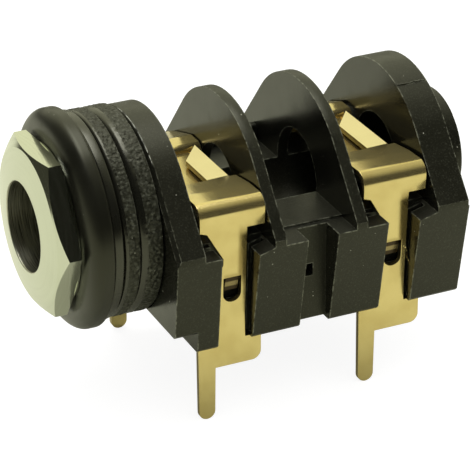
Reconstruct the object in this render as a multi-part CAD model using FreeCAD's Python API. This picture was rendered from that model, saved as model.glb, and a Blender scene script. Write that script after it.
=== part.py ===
import FreeCAD, Part
import math
import os

os.makedirs("parts", exist_ok=True)

V = FreeCAD.Vector

# Mono jack socket for a 6.35 mm plug, upright on its circuit-board pins.
# X runs along the plug bore toward the closed rear end, Z is up, -Y is the near side.
# The origin is on the bore axis, on the front face of the housing flange.

# Driving sizes, in millimetres

# Plug bore
plug_bore_radius = 3.25
housing_bore_radius = 3.2

# Bush nut
nut_front = -7.5
nut_thickness = 1.85
nut_crown_radius = 31.0
hex_across_flats = 11.45
hex_turn_deg = 1.0
hex_chamfer_radius = 5.9
hex_chamfer_deg = 28.0
hex_back_chamfer = 0.18
nut_collar_radius = 6.05
nut_collar_length = 0.12
shank_radius = 4.45
shank_end = 1.5
thread_clearance = 0.05

# Washer stack, measured back from the nut
nose_wall = 0.9
nose_front = -4.4
ring_clearance = 0.12
stack_gap = 0.05
washer_dome_reach = 1.6
washer_rim_reach = 2.5
washer_back = -3.75
washer_dome_depth = 1.05
washer_shank_clearance = 0.2
washer_edge_length = 0.2
washer_edge_drop = 0.25
thin_washer_back = -2.98
thin_washer_reach = 2.1
thin_washer_bevel = 0.12
ring_gap = 0.02
ring_front_back = -1.8
ring_rear_back = -0.1
ring_reach = 2.05
ring_bevel_depth = 0.35
ring_rear_bevel_depth = 0.6
ring_bevel_drop = 0.45

# Housing walls
wall_crown_radius = 7.7
wall_crown_drop = 0.46
wall_flank_margin = 0.38
flange_thickness = 2.1
flange_edge_bevel = 0.28
fin_thickness = 0.86
fin_one_front = 7.35
end_wall_offset = 0.13
end_wall_thickness = 2.44
boss_radius = 4.3
boss_length = 2.52
boss_edge_round = 0.25
boss_skin = 0.9

# Housing base
base_top = -0.45
shelf_rise = 0.15
shelf_half_width = 7.25
base_half_width = 9.62
block_taper = 1.36
front_block_taper = 0.86
base_bottom = -7.95
front_block_bottom = -7.85
block_edge_chamfer = 0.22
front_toe_bottom = -6.3
front_toe_length = 1.75
bay_wall_half_width = 7.2
middle_wall_half_width = 7.65
middle_wall_bottom = -7.75
front_block_end = 3.34
second_block_start = 6.2
second_block_end = 9.9
third_block_length = 3.92
third_block_offset = 0.22
rear_block_offset = -0.1
rear_block_overhang = 0.08
block_lip_drop = 0.38
shelf_depth = 1.0
wall_pocket_start = 10.15
wall_pocket_length = 1.05
wall_pocket_top = -3.4
wall_pocket_bottom = -4.35
wall_pocket_depth = 0.9

# Contacts
contact_pitch = 12.6
sheet = 0.4
slot_gap = 0.05
plate_centre = 7.5
plate_lean_start = -6.0
plate_lean_deg = 3.4
plate_left = 2.28
pin_width = 1.34
pin_tip_width = 1.24
pin_bottom = -14.05
foot_shoulder = -10.05
foot_right = 7.15
foot_corner = 0.7
foot_top = -7.98
foot_neck_top = -6.2
stem_left = 3.82
stem_right = 5.92
neck_left = 4.13
neck_top = -1.4
neck_bottom = -1.9
neck_run = 0.5
foot_neck_run = 0.6
wing_rise = 0.2
plate_fold_radius = 4.0
blade_fold_radius = 1.0
wing_corner = 2.85
head_bottom = 0.78
head_left = 2.3
head_right = 7.25
near_bend_radius = 0.75
near_bend_height = 2.73
near_flat_slope = 0.05
near_flat_length = 2.4
near_head_slope = 0.17
head_fold_radius = 3.0
near_edge = -3.35
near_tongue_slope = 0.014
near_tongue_left = 5.05
near_tongue_right = 6.75
near_tongue_short_end = 0.35
near_tongue_long_end = 2.6
far_bend_radius = 0.6
far_bend_height = 0.96
far_head_edge = 4.3
far_edge_share = 0.9
far_head_height = 2.12
far_riser = 2.85
far_blade_height = 1.64
far_fold = 2.0
far_step_radius = 0.22
far_step_lean = 0.15
far_step_drop = 0.03
far_step_margin = 0.3
far_blade_slope = 0.01
far_blade_end = -3.6
far_blade_left = 2.6
far_blade_right = 6.9
rear_head_drop = 0.08
rear_tongue_extra = 0.8
far_pin_offset = -0.5
window_left = 4.2
window_width = 1.35
window_top = -3.0
window_height = 1.95
barb_length = 1.15
barb_lean_deg = 12.0
barb_margin = 0.15
barb_thickness = 0.3
barb_room_margin = 0.1
barb_room_depth = 0.4

# How far tools and blanks run past the surface they cut, and how flat a face counts as flat
short_overrun = 0.1
half_overrun = 0.5
overrun = 1.0
long_overrun = 12.0
flat_tolerance = 0.001

# Sizes that follow from the driving ones

half_quarter_deg = 45.0
nut_back = nut_front + nut_thickness
hex_corner_radius = hex_across_flats / 2 / math.cos(math.radians(30))
washer_front = nut_back + nut_collar_length + stack_gap
nose_radius = shank_radius + thread_clearance + nose_wall
ring_radius = nose_radius + ring_reach
thin_washer_radius = nose_radius + thin_washer_reach
washer_rim_radius = nose_radius + washer_rim_reach
washer_dome_flat_radius = washer_rim_radius - washer_dome_reach
fin_two_front = fin_one_front + contact_pitch / 2
end_wall_front = fin_one_front + contact_pitch + end_wall_offset
end_wall_back = end_wall_front + end_wall_thickness
third_block_end = front_block_end + contact_pitch + third_block_offset
third_block_start = third_block_end - third_block_length
rear_block_start = second_block_start + contact_pitch + rear_block_offset
rear_block_end = end_wall_back + rear_block_overhang
shelf_top = base_top + shelf_rise
plate_outer = plate_centre + sheet / 2
plate_inner = plate_centre - sheet / 2
plate_lean = math.tan(math.radians(plate_lean_deg))
crown_centre = -wall_crown_drop
wall_flank_reach = base_half_width + wall_flank_margin


def plate_shift(z):
    """How far the leaning plate stands out from its foot at height z."""
    return max(0.0, z - plate_lean_start) * plate_lean


# Helpers

def box(x0, x1, y0, y1, z0, z1):
    return Part.makeBox(x1 - x0, y1 - y0, z1 - z0, V(x0, y0, z0))


def prism_along_x(points, x0, x1):
    """A closed outline given as (y, z) points, drawn out from x0 to x1."""
    wire = Part.makePolygon([V(x0, y, z) for y, z in points + points[:1]])
    return Part.Face(wire).extrude(V(x1 - x0, 0, 0))


def prism_along_y(points, y0, y1):
    """A closed outline given as (x, z) points, drawn out from y0 to y1."""
    wire = Part.makePolygon([V(x, y0, z) for x, z in points + points[:1]])
    return Part.Face(wire).extrude(V(0, y1 - y0, 0))


def prism_along_z(points, z0, z1):
    """A closed outline given as (x, y) points, drawn out from z0 to z1."""
    wire = Part.makePolygon([V(x, y, z0) for x, y in points + points[:1]])
    return Part.Face(wire).extrude(V(0, 0, z1 - z0))


def rod(x0, x1, radius):
    return Part.makeCylinder(radius, x1 - x0, V(x0, 0, 0), V(1, 0, 0))


def turned(profile):
    """A ring turned about the bore axis from a closed outline of (x, radius) points."""
    wire = Part.makePolygon([V(x, 0, r) for x, r in profile + profile[:1]])
    return Part.Face(wire).revolve(V(0, 0, 0), V(1, 0, 0), 360)


def mirrored_y(shape):
    return shape.mirror(V(0, 0, 0), V(0, 1, 0))


def both_sides(shape):
    return [shape, mirrored_y(shape)]


def wall_plate(x0, x1):
    """A housing wall: a round crown with straight flanks running down to the base top."""
    reach = math.hypot(wall_flank_reach, base_top - crown_centre)
    lean = math.atan2(base_top - crown_centre, wall_flank_reach)
    turn = lean + math.acos(wall_crown_radius / reach)
    crown_y = wall_crown_radius * math.cos(turn)
    crown_z = crown_centre + wall_crown_radius * math.sin(turn)
    slope = (crown_z - base_top) / (wall_flank_reach - crown_y)
    shoulder_z = base_top + slope * (wall_flank_reach - base_half_width)
    left = [V(x0, -base_half_width, base_top), V(x0, -base_half_width, shoulder_z)]
    left.append(V(x0, -crown_y, crown_z))
    right = [V(p.x, -p.y, p.z) for p in left]
    crown_top = V(x0, 0, crown_centre + wall_crown_radius)
    edges = [
        Part.makeLine(left[0], left[1]),
        Part.makeLine(left[1], left[2]),
        Part.Arc(left[2], crown_top, right[2]).toShape(),
        Part.makeLine(right[2], right[1]),
        Part.makeLine(right[1], right[0]),
        Part.makeLine(right[0], left[0]),
    ]
    return Part.Face(Part.Wire(edges)).extrude(V(x1 - x0, 0, 0))


def ribbon(path, radii, thickness, x0, x1):
    """Folded sheet: a (y, z) centre line with a radius at each fold, drawn out along X."""

    def offset_side(shift):
        dirs = []
        for (ya, za), (yb, zb) in zip(path, path[1:]):
            run = math.hypot(yb - ya, zb - za)
            dirs.append(((yb - ya) / run, (zb - za) / run))
        shifted = []
        for (y, z), (dy, dz) in zip(path, dirs):
            shifted.append((y - dz * shift, z + dy * shift))
        start = shifted[0]
        last_dir = dirs[-1]
        end = (path[-1][0] - last_dir[1] * shift, path[-1][1] + last_dir[0] * shift)
        arcs = []
        for i in range(1, len(path) - 1):
            d0 = dirs[i - 1]
            d1 = dirs[i]
            cross = d0[0] * d1[1] - d0[1] * d1[0]
            bend = math.asin(max(-1.0, min(1.0, cross)))
            if d0[0] * d1[0] + d0[1] * d1[1] < 0:
                bend = math.copysign(math.pi, cross) - bend
            side = math.copysign(1.0, cross)
            radius = radii[i - 1] - side * shift
            reach = radii[i - 1] * math.tan(abs(bend) / 2)
            corner = path[i]
            normal = (-d0[1] * side, d0[0] * side)
            into = (corner[0] - d0[0] * reach, corner[1] - d0[1] * reach)
            centre = (into[0] + normal[0] * radii[i - 1], into[1] + normal[1] * radii[i - 1])
            first = (centre[0] - normal[0] * radius, centre[1] - normal[1] * radius)
            half = bend / 2
            mid_normal = (
                normal[0] * math.cos(half) - normal[1] * math.sin(half),
                normal[0] * math.sin(half) + normal[1] * math.cos(half),
            )
            middle = (centre[0] - mid_normal[0] * radius, centre[1] - mid_normal[1] * radius)
            end_normal = (
                normal[0] * math.cos(bend) - normal[1] * math.sin(bend),
                normal[0] * math.sin(bend) + normal[1] * math.cos(bend),
            )
            second = (centre[0] - end_normal[0] * radius, centre[1] - end_normal[1] * radius)
            arcs.append((first, middle, second))
        return start, arcs, end

    def edges_of(side):
        start, arcs, end = side
        edges = []
        here = start
        for first, middle, second in arcs:
            edges.append(Part.makeLine(V(x0, *here), V(x0, *first)))
            edges.append(Part.Arc(V(x0, *first), V(x0, *middle), V(x0, *second)).toShape())
            here = second
        edges.append(Part.makeLine(V(x0, *here), V(x0, *end)))
        return edges

    one = offset_side(thickness / 2)
    two = offset_side(-thickness / 2)
    edges = edges_of(one)
    edges.append(Part.makeLine(V(x0, *one[2]), V(x0, *two[2])))
    edges.extend(reversed(edges_of(two)))
    edges.append(Part.makeLine(V(x0, *two[0]), V(x0, *one[0])))
    face = Part.Face(Part.Wire(Part.__sortEdges__(edges)))
    return face.extrude(V(x1 - x0, 0, 0))


# Bush nut: hexagon head and threaded shank in one turned piece

def make_bush_nut():
    corners = []
    for i in range(6):
        angle = math.radians(hex_turn_deg + 60 * i)
        corners.append((hex_corner_radius * math.cos(angle), -hex_corner_radius * math.sin(angle)))
    head = prism_along_x(corners, nut_front - overrun, nut_back)

    def crown_x(radius):
        sag = nut_crown_radius - math.sqrt(nut_crown_radius ** 2 - radius ** 2)
        mouth = nut_crown_radius - math.sqrt(nut_crown_radius ** 2 - plug_bore_radius ** 2)
        return nut_front + sag - mouth

    reach = hex_corner_radius + half_overrun
    slope = math.tan(math.radians(hex_chamfer_deg))
    rim = crown_x(hex_chamfer_radius)
    tip = V(crown_x(0), 0, 0)
    half_way = V(crown_x(hex_chamfer_radius / 2), 0, hex_chamfer_radius / 2)
    crown_end = V(rim, 0, hex_chamfer_radius)
    chamfer_end = V(rim + (reach - hex_chamfer_radius) * slope, 0, reach)
    back_outer = V(nut_back - hex_back_chamfer, 0, reach)
    back_edge = V(nut_back, 0, nut_collar_radius)
    back_centre = V(nut_back, 0, 0)
    outline = [
        Part.Arc(tip, half_way, crown_end).toShape(),
        Part.makeLine(crown_end, chamfer_end),
        Part.makeLine(chamfer_end, back_outer),
        Part.makeLine(back_outer, back_edge),
        Part.makeLine(back_edge, back_centre),
        Part.makeLine(back_centre, tip),
    ]
    envelope = Part.Face(Part.Wire(outline)).revolve(V(0, 0, 0), V(1, 0, 0), 360)
    head = head.common(envelope)
    collar = rod(nut_back, nut_back + nut_collar_length, nut_collar_radius)
    shank = rod(nut_back, shank_end, shank_radius)
    nut = head.fuse([collar, shank]).removeSplitter()
    return nut.cut(rod(nut_front - overrun, shank_end + overrun, plug_bore_radius))


# Washer stack

def make_dished_washer():
    depth = washer_dome_depth
    rise = washer_rim_radius - washer_dome_flat_radius
    start = V(washer_front, 0, washer_dome_flat_radius)
    lean = math.radians(half_quarter_deg)
    middle = V(
        washer_front + depth * (1 - math.cos(lean)),
        0,
        washer_dome_flat_radius + rise * math.sin(lean),
    )
    rim = V(washer_front + depth, 0, washer_rim_radius)
    back_edge = V(washer_back - washer_edge_length, 0, washer_rim_radius)
    back_round = V(washer_back, 0, washer_rim_radius - washer_edge_drop)
    back_inner = V(washer_back, 0, nose_radius + ring_clearance)
    floor_outer = V(nose_front - stack_gap, 0, nose_radius + ring_clearance)
    floor_inner = V(nose_front - stack_gap, 0, shank_radius + washer_shank_clearance)
    front_inner = V(washer_front, 0, shank_radius + washer_shank_clearance)
    edges = [
        Part.Arc(start, middle, rim).toShape(),
        Part.makeLine(rim, back_edge),
        Part.makeLine(back_edge, back_round),
        Part.makeLine(back_round, back_inner),
        Part.makeLine(back_inner, floor_outer),
        Part.makeLine(floor_outer, floor_inner),
        Part.makeLine(floor_inner, front_inner),
        Part.makeLine(front_inner, start),
    ]
    return Part.Face(Part.Wire(edges)).revolve(V(0, 0, 0), V(1, 0, 0), 360)


def make_ring(front, back, radius, bevel_depth, bevel_drop):
    hole = nose_radius + ring_clearance
    return turned([
        (front, hole),
        (front, radius - bevel_drop),
        (front + bevel_depth, radius),
        (back, radius),
        (back, hole),
    ])


# Housing: one moulding

def block_section(taper, bottom):
    """Outline of a base block across the bore: tapered sides and chamfered lower edges."""
    slope = taper / (base_top - base_bottom)
    low = base_half_width - slope * (base_top - bottom - block_edge_chamfer)
    right = [
        (base_half_width, base_top),
        (low, bottom + block_edge_chamfer),
        (low - block_edge_chamfer, bottom),
    ]
    return right + [(-y, z) for y, z in reversed(right)]


def straight_section(half_width, top, bottom):
    return [(half_width, top), (half_width, bottom), (-half_width, bottom), (-half_width, top)]


def make_base():
    toe = block_section(front_block_taper, front_toe_bottom)
    front = block_section(front_block_taper, front_block_bottom)
    wide = block_section(block_taper, base_bottom)
    bay = straight_section(bay_wall_half_width, base_top, base_bottom)
    middle = straight_section(middle_wall_half_width, base_top, middle_wall_bottom)
    shelf = straight_section(shelf_half_width, shelf_top, base_top - shelf_depth)
    pieces = [
        prism_along_x(toe, 0.0, front_block_end),
        prism_along_x(front, front_toe_length, front_block_end),
        prism_along_x(bay, front_block_end, second_block_start),
        prism_along_x(wide, second_block_start, second_block_end),
        prism_along_x(middle, second_block_end, third_block_start),
        prism_along_x(wide, third_block_start, third_block_end),
        prism_along_x(bay, third_block_end, rear_block_start),
        prism_along_x(wide, rear_block_start, rear_block_end),
        prism_along_x(shelf, flange_thickness, end_wall_front),
    ]
    base = pieces[0].fuse(pieces[1:])
    for block_start, fin_front in (
        (second_block_start, fin_one_front),
        (rear_block_start, end_wall_front),
    ):
        lip = prism_along_y(
            [
                (block_start - short_overrun, base_top + short_overrun),
                (block_start - short_overrun, base_top - block_lip_drop),
                (block_start, base_top - block_lip_drop),
                (fin_front, base_top),
                (fin_front, base_top + short_overrun),
            ],
            shelf_half_width,
            base_half_width + half_overrun,
        )
        base = base.cut(both_sides(lip))
    pocket = box(
        wall_pocket_start,
        wall_pocket_start + wall_pocket_length,
        middle_wall_half_width - wall_pocket_depth,
        middle_wall_half_width + overrun,
        wall_pocket_bottom,
        wall_pocket_top,
    )
    return base.cut(both_sides(pocket))


def contact_slots():
    """Room for the contact plates in the base, with the slot gap all round."""
    top = base_top + overrun
    low = base_bottom - overrun
    inner = plate_inner - slot_gap
    outer = plate_outer + slot_gap
    across = [
        (inner, low),
        (outer, low),
        (outer, plate_lean_start),
        (outer + plate_shift(top), top),
        (inner + plate_shift(top), top),
        (inner, plate_lean_start),
    ]
    cutters = []
    for shift in (0.0, contact_pitch):
        slot = prism_along_x(
            across,
            plate_left - slot_gap + shift,
            foot_right + slot_gap + shift,
        )
        barb_room = box(
            window_left - barb_room_margin + shift,
            window_left + window_width + barb_room_margin + shift,
            inner - barb_room_depth,
            outer,
            window_top - window_height,
            window_top + barb_room_margin,
        )
        cutters.extend(both_sides(slot))
        cutters.extend(both_sides(barb_room))
    return cutters


def make_housing():
    flange = wall_plate(0.0, flange_thickness)
    front_edges = []
    for edge in flange.Edges:
        middle = edge.CenterOfMass
        if abs(middle.x) < flat_tolerance and middle.z > base_top + half_overrun:
            front_edges.append(edge)
    flange = flange.makeChamfer(flange_edge_bevel, front_edges)
    nose = rod(nose_front, 0.0, nose_radius)
    fin_one = wall_plate(fin_one_front, fin_one_front + fin_thickness)
    fin_two = wall_plate(fin_two_front, fin_two_front + fin_thickness)
    end_wall = wall_plate(end_wall_front, end_wall_back)
    boss = rod(end_wall_back, end_wall_back + boss_length, boss_radius)
    boss_back = end_wall_back + boss_length
    rim = [e for e in boss.Edges if abs(e.CenterOfMass.x - boss_back) < flat_tolerance]
    boss = boss.makeFillet(boss_edge_round, rim)
    housing = make_base().fuse([flange, nose, fin_one, fin_two, end_wall, boss])
    housing = housing.removeSplitter()
    bore_end = boss_back - boss_skin
    housing = housing.cut(rod(nose_front - overrun, bore_end, housing_bore_radius))
    thread_hole_radius = shank_radius + thread_clearance
    thread_hole = rod(nose_front - overrun, flange_thickness, thread_hole_radius)
    housing = housing.cut(thread_hole)
    housing = housing.cut(contact_slots())
    return housing


# Contacts: each one is a single stamped and folded strip

def contact_outline(pin_offset):
    """The stamped outline of the upright plate, seen along Y, as a tool across the part."""
    pin_left = plate_left + pin_offset
    pin_right = pin_left + pin_width
    pin_mid = pin_left + pin_width / 2
    tip_radius = pin_tip_width / 2
    tip_line = pin_bottom + tip_radius
    lean = math.radians(half_quarter_deg)
    above = near_bend_height + overrun
    points = [
        V(pin_left, 0, foot_top),
        V(pin_mid - tip_radius, 0, tip_line),
        V(pin_mid + tip_radius, 0, tip_line),
        V(pin_right, 0, foot_shoulder),
        V(foot_right - foot_corner, 0, foot_shoulder),
        V(foot_right, 0, foot_shoulder + foot_corner),
        V(foot_right, 0, foot_top),
        V(stem_right, 0, foot_top),
        V(stem_right, 0, head_bottom),
        V(head_right, 0, head_bottom),
        V(head_right, 0, above),
        V(head_left, 0, above),
        V(head_left, 0, head_bottom + wing_rise),
        V(wing_corner, 0, head_bottom),
        V(neck_left, 0, neck_top),
        V(neck_left, 0, neck_bottom),
        V(stem_left, 0, neck_bottom - neck_run),
        V(stem_left, 0, foot_neck_top),
        V(plate_left, 0, foot_neck_top - foot_neck_run),
        V(plate_left, 0, foot_top + slot_gap),
    ]
    turn_centre = V(foot_right - foot_corner, 0, foot_shoulder + foot_corner)
    corner_middle = turn_centre + V(foot_corner * math.cos(lean), 0, -foot_corner * math.sin(lean))
    tip_bottom = V(pin_mid, 0, pin_bottom)
    edges = [
        Part.makeLine(points[0], points[1]),
        Part.Arc(points[1], tip_bottom, points[2]).toShape(),
        Part.makeLine(points[2], points[3]),
        Part.makeLine(points[3], points[4]),
        Part.Arc(points[4], corner_middle, points[5]).toShape(),
    ]
    for start, end in zip(points[5:], points[6:] + points[:1]):
        edges.append(Part.makeLine(start, end))
    face = Part.Face(Part.Wire(edges))
    face.translate(V(0, -long_overrun, 0))
    return face.extrude(V(0, 2 * long_overrun, 0))


def window_cutter(side):
    """D-shaped window, flat at the top and round at the bottom."""
    radius = window_width / 2
    middle = window_left + radius
    round_line = window_top - window_height + radius
    y = side * plate_centre - overrun
    a = V(window_left, y, window_top)
    b = V(window_left, y, round_line)
    c = V(middle, y, round_line - radius)
    d = V(window_left + window_width, y, round_line)
    e = V(window_left + window_width, y, window_top)
    edges = [
        Part.makeLine(a, b),
        Part.Arc(b, c, d).toShape(),
        Part.makeLine(d, e),
        Part.makeLine(e, a),
    ]
    return Part.Face(Part.Wire(edges)).extrude(V(0, 2 * overrun, 0))


def barb(side):
    """The tongue lanced from the window's top edge, leaning in toward the bore."""
    width = window_width - 2 * barb_margin
    piece = Part.makeBox(
        width,
        barb_thickness,
        barb_length + short_overrun,
        V(window_left + barb_margin, -barb_thickness / 2, -barb_length),
    )
    piece.rotate(V(0, 0, 0), V(1, 0, 0), -side * (plate_lean_deg + barb_lean_deg))
    piece.translate(V(0, side * (plate_centre + plate_shift(window_top)), window_top))
    return piece


def make_near_contact(shift, drop, extra):
    bend = near_bend_height - drop
    bend_y = -plate_centre - plate_shift(bend)
    fold_y = bend_y + near_flat_length
    fold = bend - near_flat_slope * near_flat_length
    edge_height = fold - near_head_slope * (near_edge - fold_y)
    end_y = near_tongue_long_end + extra + half_overrun
    end_height = edge_height - near_tongue_slope * (end_y - near_edge)
    path = [
        (-plate_centre, pin_bottom - half_overrun),
        (-plate_centre, plate_lean_start),
        (bend_y, bend),
        (fold_y, fold),
        (near_edge + short_overrun, edge_height),
        (end_y, end_height),
    ]
    radii = [plate_fold_radius, near_bend_radius, head_fold_radius, blade_fold_radius]
    strip = ribbon(path, radii, sheet, head_left - half_overrun, head_right + half_overrun)
    strip = strip.common(contact_outline(0.0))
    beside_tongue = prism_along_z(
        [
            (head_left - overrun, near_edge),
            (near_tongue_left, near_edge),
            (near_tongue_left, near_tongue_short_end + extra),
            (near_tongue_right, near_tongue_long_end + extra),
            (near_tongue_right, near_edge),
            (head_right + overrun, near_edge),
            (head_right + overrun, end_y + overrun),
            (head_left - overrun, end_y + overrun),
        ],
        base_top,
        bend + overrun,
    )
    strip = strip.cut(beside_tongue)
    strip = strip.cut(window_cutter(-1)).fuse(barb(-1)).removeSplitter()
    strip.translate(V(shift, 0, 0))
    return strip


def make_far_contact(shift, drop, extra):
    bend = far_bend_height - drop
    head = far_head_height - drop
    blade = far_blade_height - drop
    end_height = blade - far_blade_slope * (far_fold - far_blade_end)
    riser = far_riser + extra
    path = [
        (plate_centre, pin_bottom - half_overrun),
        (plate_centre, plate_lean_start),
        (plate_centre + plate_shift(bend), bend),
        (far_head_edge + extra * far_edge_share, head),
        (riser, head),
        (riser - far_step_lean, blade),
        (far_fold, blade - far_step_drop),
        (far_blade_end, end_height - far_step_drop),
    ]
    radii = [
        plate_fold_radius,
        far_bend_radius,
        blade_fold_radius,
        far_step_radius,
        far_step_radius,
        blade_fold_radius,
    ]
    strip = ribbon(path, radii, sheet, head_left - half_overrun, head_right + half_overrun)
    strip = strip.common(contact_outline(far_pin_offset))
    past_blade = far_blade_end - overrun
    step_side = riser - far_step_margin
    over_blade = head + overrun
    sides = [
        box(head_left - overrun, far_blade_left, past_blade, step_side, base_top, over_blade),
        box(far_blade_right, head_right + overrun, past_blade, step_side, base_top, over_blade),
    ]
    strip = strip.cut(sides)
    strip = strip.cut(window_cutter(1)).fuse(barb(1)).removeSplitter()
    strip.translate(V(shift, 0, 0))
    return strip


# Build every node and write it out

nodes = {
    "housing": make_housing(),
    "bush_nut": make_bush_nut(),
    "dished_washer": make_dished_washer(),
    "thin_washer": make_ring(
        washer_back + stack_gap,
        thin_washer_back,
        thin_washer_radius,
        thin_washer_bevel,
        thin_washer_bevel,
    ),
    "spacer_ring_front": make_ring(
        thin_washer_back + ring_gap,
        ring_front_back,
        ring_radius,
        ring_bevel_depth,
        ring_bevel_drop,
    ),
    "spacer_ring_rear": make_ring(
        ring_front_back + ring_gap,
        ring_rear_back,
        ring_radius,
        ring_rear_bevel_depth,
        ring_bevel_drop,
    ),
    "sleeve_contact": make_near_contact(0.0, 0.0, 0.0),
    "sleeve_switch_contact": make_far_contact(0.0, 0.0, 0.0),
    "tip_contact": make_near_contact(contact_pitch, rear_head_drop, rear_tongue_extra),
    "tip_switch_contact": make_far_contact(contact_pitch, rear_head_drop, rear_tongue_extra),
}

for name, shape in nodes.items():
    solids = shape.Solids
    print(name, "solids", len(solids), "volume", round(shape.Volume, 3), "valid", shape.isValid())
    if len(solids) == 1:
        shape = solids[0]
    shape.exportStep(os.path.join("parts", name + ".step"))
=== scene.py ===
import math

import bmesh
import bpy
from mathutils import Matrix, Vector, noise


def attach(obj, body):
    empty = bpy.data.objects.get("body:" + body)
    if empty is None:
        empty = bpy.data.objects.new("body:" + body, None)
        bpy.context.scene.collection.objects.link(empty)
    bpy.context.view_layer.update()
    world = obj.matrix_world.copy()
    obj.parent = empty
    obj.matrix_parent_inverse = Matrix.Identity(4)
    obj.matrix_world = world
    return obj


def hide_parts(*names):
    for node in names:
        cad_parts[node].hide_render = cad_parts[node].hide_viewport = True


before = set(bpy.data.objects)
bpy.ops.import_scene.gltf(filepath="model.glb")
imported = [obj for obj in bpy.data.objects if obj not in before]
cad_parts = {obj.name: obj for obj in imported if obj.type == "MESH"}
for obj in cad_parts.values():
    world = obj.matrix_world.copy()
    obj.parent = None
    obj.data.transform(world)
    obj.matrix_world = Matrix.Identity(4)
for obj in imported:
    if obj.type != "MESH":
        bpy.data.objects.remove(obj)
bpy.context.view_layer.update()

# Points and sizes of the pieces are in millimetres. Sizes inside materials are in metres.
MM = 0.001

# Sizes of the pieces

bore_radius = 3.25
nut_front = -7.5
nut_back = -5.65
nut_crown_radius = 31.0
nut_apothem = 5.725
nut_turn_deg = 1
nut_chamfer_radius = 5.58
nut_chamfer_slope = 0.5
nut_back_chamfer = 0.18
nut_reach = 7.11
collar_radius = 5.8
collar_length = 0.12
shank_end = 1.5
thread_crest = 4.45
thread_root = 3.98
thread_pitch = 1.0

washer_front = -5.48
washer_back = -3.75
washer_hole = 4.65
washer_seat = -4.45
washer_flat = 6.3
washer_rim = 7.9
washer_dome = 1.05

thin_front = -3.7
thin_back = -2.98
thin_radius = 7.5
thin_round = 0.14

ring_hole = 5.52
ring_radius = 7.45
ring_drop = 0.45
ring_pit_depth = 0.08
ring_grain = 4.6
spacer_rings = (("front", -2.96, -1.8, 0.35), ("rear", -1.78, -0.1, 0.6))

wall_crown = 7.7
wall_crown_z = -0.46


# Meshes

def new_piece(name, verts, faces, body, replaces=()):
    """A mesh piece from millimetre points, riding on its body."""
    mesh = bpy.data.meshes.new(name)
    mesh.from_pydata([Vector(v) * MM for v in verts], [], faces)
    mesh.validate()
    piece = bpy.data.objects.new(name, mesh)
    bpy.context.scene.collection.objects.link(piece)
    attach(piece, body)
    if replaces:
        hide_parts(*replaces)
    return piece


def crease(piece, sharp_deg):
    """Merges doubled points, turns all faces outward and marks the sharp edges."""
    merge = 0.0005 * MM
    work = bmesh.new()
    work.from_mesh(piece.data)
    bmesh.ops.remove_doubles(work, verts=work.verts, dist=merge)
    bmesh.ops.dissolve_degenerate(work, edges=work.edges, dist=merge)
    bmesh.ops.recalc_face_normals(work, faces=work.faces)
    limit = math.radians(sharp_deg)
    for face in work.faces:
        face.smooth = True
    for edge in work.edges:
        edge.smooth = edge.calc_face_angle(0.0) < limit
    work.to_mesh(piece.data)
    work.free()


def turned_rows(rows, steps):
    """Closed ring of quads round the bore. Each row gives (x, radius) for an angle."""
    verts = []
    for row in rows:
        for k in range(steps):
            angle = math.tau * k / steps
            x, radius = row(angle)
            verts.append((x, radius * math.cos(angle), -radius * math.sin(angle)))
    faces = []
    count = len(rows)
    for i in range(count):
        j = (i + 1) % count
        for k in range(steps):
            m = (k + 1) % steps
            faces.append((i * steps + k, i * steps + m, j * steps + m, j * steps + k))
    return verts, faces


def fixed(x, radius):
    """A row that is a plain circle."""
    return lambda angle: (x, radius)


# Bush nut

def crown_x(radius):
    """Where the nut's domed face lies at a radius."""
    sag = nut_crown_radius - math.sqrt(nut_crown_radius ** 2 - radius ** 2)
    mouth = nut_crown_radius - math.sqrt(nut_crown_radius ** 2 - bore_radius ** 2)
    return nut_front + sag - mouth


def hex_radius(angle):
    """Radius of the hexagon's outline at an angle."""
    across = (math.degrees(angle) - nut_turn_deg) % 60 - 30
    return nut_apothem / math.cos(math.radians(across))


def make_nut():
    """Hexagon head and plain core of the bush, with the bore through it."""
    back_lead = 0.15
    mouth_round = 0.1
    rows = [fixed(shank_end, thread_root), fixed(shank_end, bore_radius + back_lead)]
    bore_rows = 24
    start = shank_end - back_lead
    end = nut_front + mouth_round
    for i in range(bore_rows + 1):
        rows.append(fixed(start + (end - start) * i / bore_rows, bore_radius))
    rows.append(fixed(nut_front + mouth_round * 0.4, bore_radius + mouth_round * 0.2))
    mouth = bore_radius + mouth_round * 0.7
    face_rows = 18
    for i in range(face_rows + 1):
        def face_row(angle, share=i / face_rows):
            outer = min(nut_chamfer_radius, hex_radius(angle))
            radius = mouth + (outer - mouth) * share
            return crown_x(radius), radius
        rows.append(face_row)
    for i in range(1, 4):
        def chamfer_row(angle, share=i / 3):
            outer = hex_radius(angle)
            inner = min(nut_chamfer_radius, outer)
            radius = inner + (outer - inner) * share
            return crown_x(inner) + (radius - inner) * nut_chamfer_slope, radius
        rows.append(chamfer_row)

    def back_row(angle):
        radius = hex_radius(angle)
        over = max(0.0, radius - collar_radius) / (nut_reach - collar_radius)
        return nut_back - nut_back_chamfer * over, radius

    def middle_row(angle):
        front = chamfer_row(angle)
        back = back_row(angle)
        return (front[0] + back[0]) / 2, back[1]

    rows.append(middle_row)
    rows.append(back_row)
    rows.append(fixed(nut_back, collar_radius))
    rows.append(fixed(nut_back + collar_length, collar_radius))
    rows.append(fixed(nut_back + collar_length, thread_root))
    verts, faces = turned_rows(rows, 360)
    nut = new_piece("nut_head", verts, faces, "nut", ("bush_nut",))
    crease(nut, 8.0)
    return nut


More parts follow.
